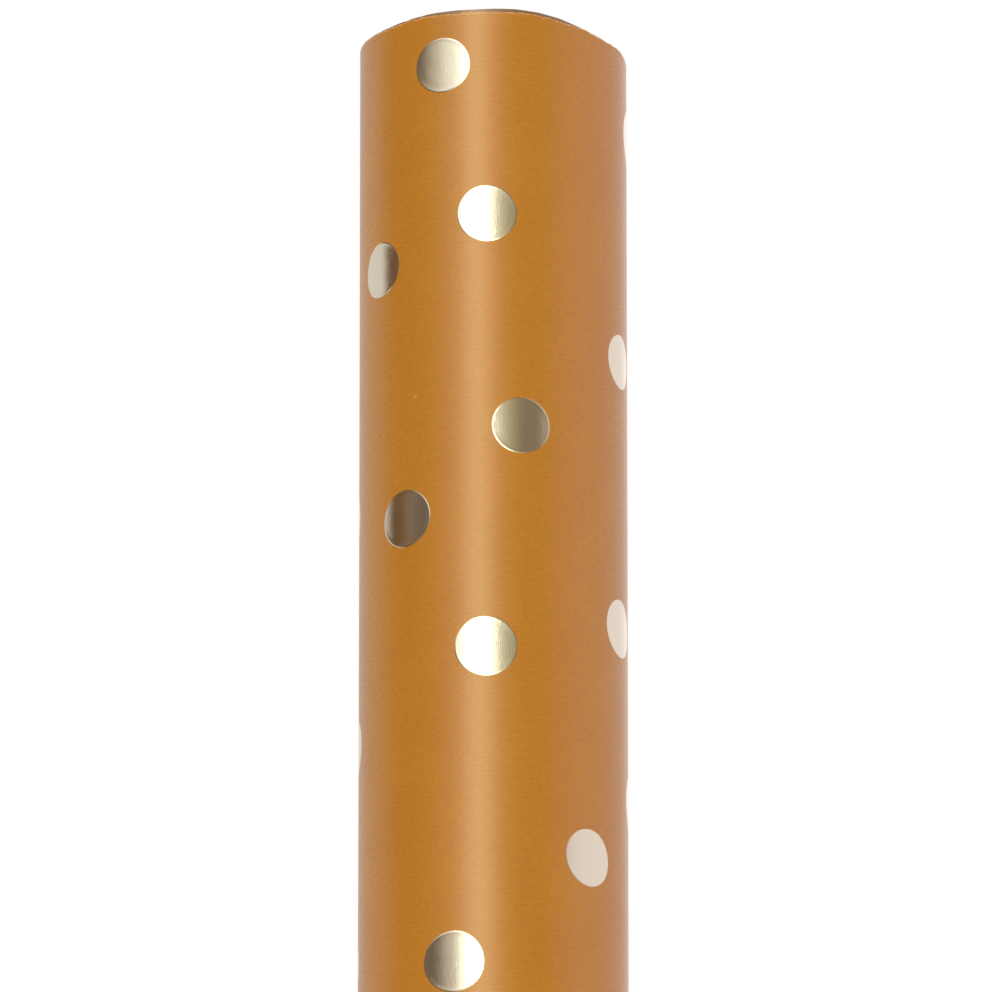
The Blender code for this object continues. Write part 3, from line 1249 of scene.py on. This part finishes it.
@dataclass(frozen=True)
class Studio:
    """A plain pale floor and soft light from panels that stand round the roll.

    The panels are azimuths in degrees with a light: a broad softbox left of the front, dark gaps
    beside it, and white walls to the sides and behind. The key is the softbox's bright middle. A
    height is that of a direction, from 0 at the horizon to 1 overhead, or a pair of heights between
    which something changes. Near the horizon and below it, the same panels stand in front and,
    mirrored, behind, so that the foil and the satin print have something to reflect on every side.
    """

    panels: tuple[tuple[float, Colour], ...] = (
        (-180, (0.82, 0.80, 0.76)),
        (-105, (0.82, 0.79, 0.74)),
        (-100, (0.163, 0.0875, 0.0438)),
        (-88, (0.2, 0.106, 0.05)),
        (-76, (0.3, 0.213, 0.15)),
        (-70, (0.21, 0.16, 0.115)),
        (-61, (0.165, 0.13, 0.095)),
        (-55, (0.25, 0.20, 0.155)),
        (-50, (0.56, 0.48, 0.39)),
        (-43, (0.69, 0.61, 0.50)),
        (-35, (1.00, 0.96, 0.90)),
        (-32, (1.19, 1.14, 1.08)),
        (0, (1.19, 1.17, 1.08)),
        (5, (0.875, 0.825, 0.675)),
        (12, (0.587, 0.525, 0.338)),
        (24, (0.3, 0.237, 0.163)),
        (41, (0.275, 0.213, 0.15)),
        (46, (0.525, 0.425, 0.35)),
        (60, (0.775, 0.675, 0.613)),
        (76, (0.975, 0.887, 0.9)),
        (105, (1, 0.912, 0.925)),
        (145, (1, 0.938, 0.938)),
        (158, (1.17, 1.09, 1.09)),
        (172, (1.12, 1.05, 1.04)),
        (180, (0.82, 0.80, 0.76)),
    )
    key_azimuths: tuple[float, float, float] = (-31, -13, 4)
    key_heights: tuple[float, float] = (0.54, 0.62)
    fold_heights: tuple[float, float] = (0.03, 0.14)
    key_light: float = 5.2
    key_tint: Colour = (1.0, 0.91, 0.50)
    lean: float = 0.13
    upright_height: float = 0.26
    most_lean_height: float = 0.5
    twist: float = math.radians(8)
    twist_heights: tuple[float, float] = (0.2, 0.32)
    twist_azimuths: tuple[float, float] = (-34, -24)
    overhead: Colour = (0.85, 0.85, 0.84)
    overhead_heights: tuple[float, float] = (0.65, 0.95)
    floor_colour: Colour = (0.86, 0.855, 0.845)
    floor_radius: float = 60.0
    floor_gap: float = 0.05 * MM

    def build(self) -> None:
        """Build the world's light and the floor."""
        self.build_world()
        self.build_floor()
        bpy.context.scene.view_settings.view_transform = "Standard"

    def build_world(self) -> None:
        """Light the roll from the panels, and show plain white behind it."""
        world = bpy.data.worlds.new("studio")
        bpy.context.scene.world = world
        world.use_nodes = True
        world.node_tree.nodes.clear()
        tree = Tree(world.node_tree)
        direction = tree.add("ShaderNodeTexCoord").outputs["Generated"]
        split = tree.add("ShaderNodeSeparateXYZ", {0: direction})
        height = split.outputs["Z"]
        front = tree.math("MULTIPLY", split.outputs["Y"], -1.0)
        whole = self.panel_light(tree, split.outputs["X"], front, height)
        mirrored = self.panel_light(tree, split.outputs["X"], tree.math("ABSOLUTE", front), height)
        lit = tree.mix(tree.between(height, *self.fold_heights), mirrored, whole)
        is_overhead = tree.between(height, *self.overhead_heights)
        light = tree.add("ShaderNodeBackground", {"Color": tree.mix(is_overhead, lit, self.overhead)})
        plain = tree.add("ShaderNodeBackground", {"Color": (1.0, 1.0, 1.0, 1.0)})
        seen = tree.add("ShaderNodeLightPath").outputs["Is Camera Ray"]
        either = tree.add("ShaderNodeMixShader", {"Fac": seen, 1: light.outputs[0], 2: plain.outputs[0]})
        tree.add("ShaderNodeOutputWorld", {"Surface": either.outputs[0]})

    def panel_light(self, tree: Tree, across: Socket, front: Socket, height: Socket) -> Socket:
        """Return the light that comes from a direction: the walls lean a little, those on the left more.

        Args:
            tree: the world's nodes.
            across: how far to the right the direction points.
            front: how far it points to the front.
            height: how far up it points.

        Returns:
            The light of the panels and the softbox.
        """
        level = tree.add("ShaderNodeClamp", {"Value": height, "Max": self.most_lean_height})
        azimuth = tree.math("DIVIDE", tree.math("ARCTAN2", across, front), math.tau)
        raised = tree.math("SUBTRACT", level.outputs[0], self.upright_height)
        leaning = tree.math("MULTIPLY", raised, self.lean)
        share = tree.math("ADD", tree.math("ADD", azimuth, 0.5), leaning)
        key = tree.scale(self.key_tint, self.key_panel(tree, share, height))
        turn = self.twist / math.tau
        twist = tree.between(height, *self.twist_heights, -turn, turn)
        on_left = tree.between(azimuth, *(degrees / 360 for degrees in self.twist_azimuths), 1.0, 0.0)
        twisted = tree.math("ADD", share, tree.math("MULTIPLY", twist, on_left))
        return tree.vector("ADD", self.panel_ramp(tree, twisted), key)

    def panel_ramp(self, tree: Tree, share: Socket) -> Socket:
        """Return the light of the panels at a share of the way round."""
        colours = tree.add("ShaderNodeValToRGB", {0: share})
        stops = colours.color_ramp.elements
        while len(stops) < len(self.panels):
            stops.new(0.5)
        for stop, (degrees, _) in zip(stops, self.panels):
            stop.position = degrees / 360 + 0.5
        for stop, (_, colour) in zip(stops, self.panels):
            stop.color = (*colour, 1.0)
        return colours.outputs["Color"]

    def key_panel(self, tree: Tree, share: Socket, height: Socket) -> Socket:
        """Return the extra light of the strip softbox, which is brightest along its middle.

        Args:
            tree: the world's nodes.
            share: how far round the direction is.
            height: how far up it points.

        Returns:
            How bright the softbox is there.
        """
        left, middle, right = (degrees / 360 + 0.5 for degrees in self.key_azimuths)
        rise = tree.between(share, left, middle)
        fall = tree.between(share, middle, right, 1.0, 0.0)
        shone = tree.between(tree.math("ABSOLUTE", height), *self.key_heights, self.key_light, 0.0)
        return tree.math("MULTIPLY", tree.math("MULTIPLY", rise, fall), shone)

    def build_floor(self) -> None:
        """Lay a wide round floor just under the roll, which gloss doesn't mirror."""
        bpy.ops.mesh.primitive_circle_add(
            vertices=96, radius=self.floor_radius, fill_type="NGON", location=(0, 0, -self.floor_gap)
        )
        floor = bpy.context.active_object
        floor.name = "floor"
        floor.visible_glossy = False
        material = bpy.data.materials.new("floor_white")
        material.use_nodes = True
        shader = material.node_tree.nodes["Principled BSDF"]
        shader.inputs["Base Color"].default_value = (*self.floor_colour, 1.0)
        shader.inputs["Roughness"].default_value = 0.7
        floor.data.materials.append(material)


@dataclass(frozen=True)
class Viewpoint:
    """A long-lens camera low in front of the roll, which looks up at its upper end."""

    shape: RollShape
    distance: float = 2.4
    rise: float = math.radians(15)
    shown_width: float = 191.4 * MM
    top_margin: float = 1.63 * MM
    aside: float = 0.5 * MM
    sensor: float = 36.0

    def build(self) -> None:
        """Build the camera and make it the scene's."""
        data = bpy.data.cameras.new("camera")
        data.sensor_width = self.sensor
        data.lens = self.sensor * self.distance / self.shown_width
        data.clip_end = 200.0
        camera = link("camera", data)
        near_edge = self.shape.radius * math.sin(self.rise)
        below = (self.shown_width / 2 - self.top_margin - near_edge) / math.cos(self.rise)
        target = Vector((self.aside, 0.0, self.shape.length - below))
        back = Vector((0.0, -math.cos(self.rise), -math.sin(self.rise)))
        camera.location = target + back * self.distance
        camera.rotation_mode = "QUATERNION"
        camera.rotation_quaternion = (-back).to_track_quat("-Z", "Y")
        bpy.context.scene.camera = camera


# ---------------------------------------------------------------- all of it


def main() -> None:
    """Build the studio and every piece of the roll."""
    logging.basicConfig(level=logging.INFO, format="%(name)s: %(message)s")
    shape = shape_of_frame()
    LOG.info("roll: %.0f mm long, %.1f mm across", shape.length / MM, 2 * shape.radius / MM)
    Viewpoint(shape).build()
    Studio().build()
    finishes = Finishes()
    CardCore(shape, finishes).build()
    regions = WoundPaper(shape, finishes).build()
    FoilDots(shape, finishes).build(regions)
    for node in ("seal_tab_lower", "seal_tab_middle", "seal_tab_upper"):
        SealTab(shape, finishes, node).build()


if __name__ == "__main__":
    main()
